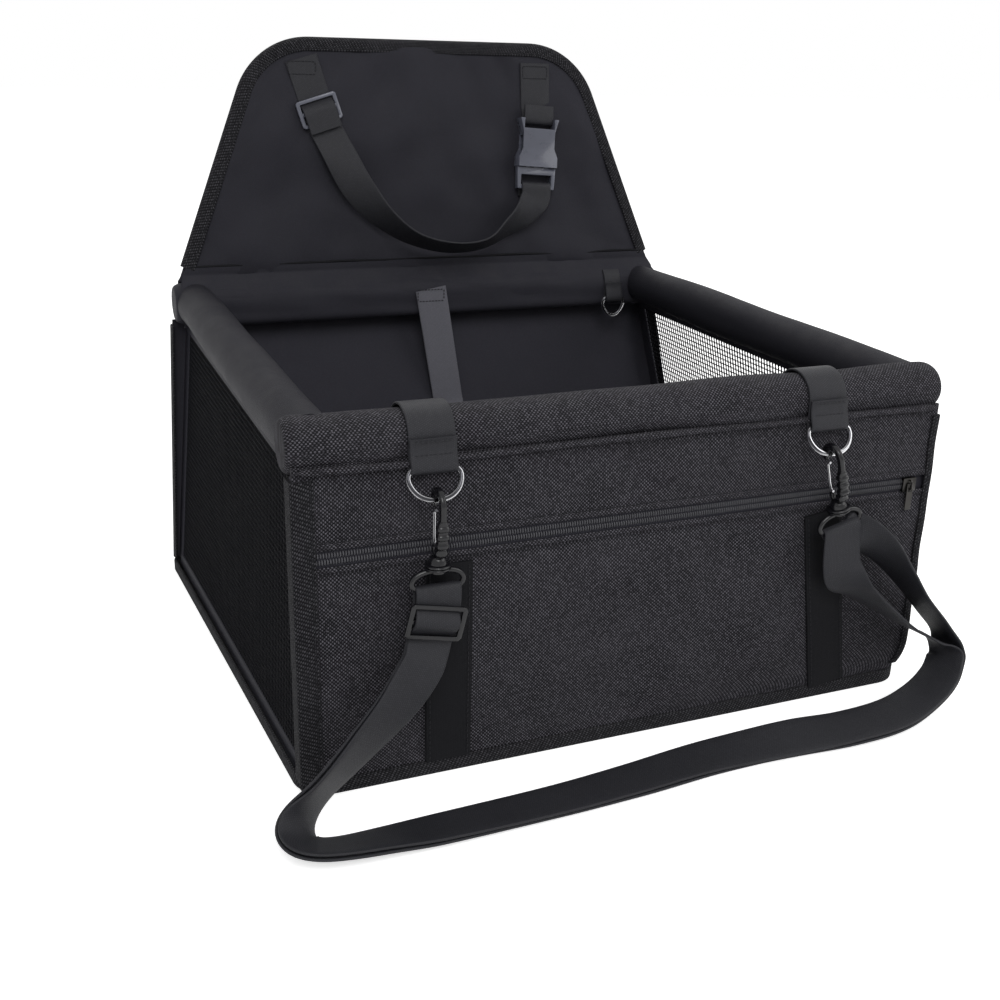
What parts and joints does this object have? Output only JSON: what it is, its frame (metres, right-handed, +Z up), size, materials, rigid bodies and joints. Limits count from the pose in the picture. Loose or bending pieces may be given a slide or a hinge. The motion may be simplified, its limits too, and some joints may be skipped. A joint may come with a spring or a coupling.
{
  "type": "dog car seat",
  "caption": "Soft open-topped pet travel seat on a tube rim, with mesh sides, zipped front pocket, fold-over back flap with straps, inner leash and a hooked carry strap.",
  "frame": {"origin": "middle of the underside of the base, on the floor it stands on", "axes": "+Z up, +Y to the back (the flap's side), -Y the zipped front, +X to the right as seen from the front"},
  "size_m": [0.4456, 0.47, 0.3828],
  "materials": {
    "oxford_cloth": "woven oxford cloth, matt with a slight weave sheen",
    "smooth_lining": "smooth close-woven cloth, satin",
    "webbing": "ribbed polyester webbing, satin",
    "binding_tape": "coarse woven binding tape, matt",
    "netting": "knitted mesh, matt",
    "moulded_plastic": "moulded plastic, semi-gloss",
    "plated_steel": "plated wire, bright",
    "tube_plastic": "extruded and moulded plastic, satin",
    "stiffener_board": "flat board, matt"
  },
  "bodies": {
    "basket": {"base_cover": "oxford_cloth", "base_board": "stiffener_board", "floor_pad": "smooth_lining", "base_binding": "binding_tape", "front_wall": "smooth_lining", "front_facing": "oxford_cloth", "pocket_panel": "oxford_cloth", "zip_tape": "binding_tape", "zip_teeth": "moulded_plastic", "left_front_band": "webbing", "right_front_band": "webbing", "left_front_binding": "binding_tape", "right_front_binding": "binding_tape", "back_cover": "oxford_cloth", "back_wall": "smooth_lining", "left_back_binding": "binding_tape", "right_back_binding": "binding_tape", "left_mesh_panel": "netting", "right_mesh_panel": "netting", "front_rim_sleeve": "oxford_cloth", "back_rim_sleeve": "smooth_lining", "left_rim_sleeve": "smooth_lining", "right_rim_sleeve": "smooth_lining", "front_frame_tube": "tube_plastic", "back_frame_tube": "tube_plastic", "left_frame_tube": "tube_plastic", "right_frame_tube": "tube_plastic", "front_left_elbow": "tube_plastic", "front_right_elbow": "tube_plastic", "back_left_elbow": "tube_plastic", "back_right_elbow": "tube_plastic", "left_ring_loop": "webbing", "right_ring_loop": "webbing", "corner_ring_tab": "webbing"},
    "flap": {"flap_cover": "smooth_lining", "flap_board": "stiffener_board", "flap_binding": "binding_tape", "flap_strap_left": "webbing", "flap_slider": "moulded_plastic", "flap_strap_loop": "webbing", "flap_strap_right": "webbing", "buckle_socket": "moulded_plastic"},
    "plug": {"buckle_plug": "moulded_plastic"},
    "strap": {"left_d_ring": "plated_steel", "right_d_ring": "plated_steel", "left_swivel_eye": "moulded_plastic", "right_swivel_eye": "moulded_plastic", "carry_strap": "webbing", "strap_slider": "moulded_plastic"},
    "left_snap": {"left_hook_body": "moulded_plastic"},
    "left_gate": {"left_hook_gate": "plated_steel"},
    "right_snap": {"right_hook_body": "moulded_plastic"},
    "right_gate": {"right_hook_gate": "plated_steel"},
    "zip_runner": {"zip_slider": "plated_steel"},
    "zip_tab": {"zip_pull": "plated_steel"},
    "tether": {"leash_strap": "webbing", "leash_swivel_eye": "moulded_plastic"},
    "tether_snap": {"leash_hook_body": "moulded_plastic"},
    "tether_gate": {"leash_hook_gate": "plated_steel"},
    "corner_ring": {"corner_d_ring": "plated_steel"}
  },
  "joints": [
    {"name": "flap_fold", "type": "hinge", "parent": "basket", "child": "flap", "pos_m": [0, 0.204, 0.2123], "axis": [1, 0, 0], "range_deg": [-80, 75]},
    {"name": "buckle_release", "type": "slide", "parent": "flap", "child": "plug", "axis": [-0.0698, -0.1388, -0.9879], "range_m": [0, 0.03], "deforming": ["flap_strap_loop"]},
    {"name": "strap_swing", "type": "hinge", "parent": "basket", "child": "strap", "pos_m": [-0.127, -0.1647, 0.1815], "axis": [-1, 0, 0], "range_deg": [0, 110]},
    {"name": "left_hook_swivel", "type": "hinge", "parent": "strap", "child": "left_snap", "pos_m": [-0.127, -0.1732, 0.13188], "axis": [0, 0, 1], "range_deg": [-15, 15]},
    {"name": "left_gate_press", "type": "hinge", "parent": "left_snap", "child": "left_gate", "pos_m": [-0.127, -0.1698, 0.14098], "axis": [1, 0, 0], "range_deg": [0, 18], "stiffness_Nm_per_rad": 0.02, "springref_deg": -5.73},
    {"name": "right_hook_swivel", "type": "hinge", "parent": "strap", "child": "right_snap", "pos_m": [0.12353, -0.1732, 0.13307], "axis": [-0.2588, 0, 0.9659], "range_deg": [-15, 15]},
    {"name": "right_gate_press", "type": "hinge", "parent": "right_snap", "child": "right_gate", "pos_m": [0.12118, -0.1698, 0.14186], "axis": [0.9659, 0, 0.2588], "range_deg": [0, 18], "stiffness_Nm_per_rad": 0.02, "springref_deg": -5.73},
    {"name": "zip_run", "type": "slide", "parent": "basket", "child": "zip_runner", "axis": [-1, 0, 0], "range_m": [0, 0.366]},
    {"name": "zip_pull_lift", "type": "hinge", "parent": "zip_runner", "child": "zip_tab", "pos_m": [0.183, -0.1646, 0.13748], "axis": [-1, 0, 0], "range_deg": [0, 60]},
    {"name": "leash_swing", "type": "hinge", "parent": "basket", "child": "tether", "pos_m": [-0.0052, 0.1879, 0.199], "axis": [-1, 0, 0], "range_deg": [0, 60]},
    {"name": "leash_hook_swivel", "type": "hinge", "parent": "tether", "child": "tether_snap", "pos_m": [0.01739, 0.16653, 0.06622], "axis": [0.1564, -0.2726, -0.9493], "range_deg": [-15, 15]},
    {"name": "leash_gate_press", "type": "hinge", "parent": "tether_snap", "child": "tether_gate", "pos_m": [0.01881, 0.16731, 0.05664], "axis": [-0.9877, -0.0432, -0.1504], "range_deg": [0, 18], "stiffness_Nm_per_rad": 0.02, "springref_deg": -5.73},
    {"name": "corner_ring_swing", "type": "hinge", "parent": "basket", "child": "corner_ring", "pos_m": [0.156, 0.1853, 0.185], "axis": [-1, 0, 0], "range_deg": [0, 80]}
  ]
}
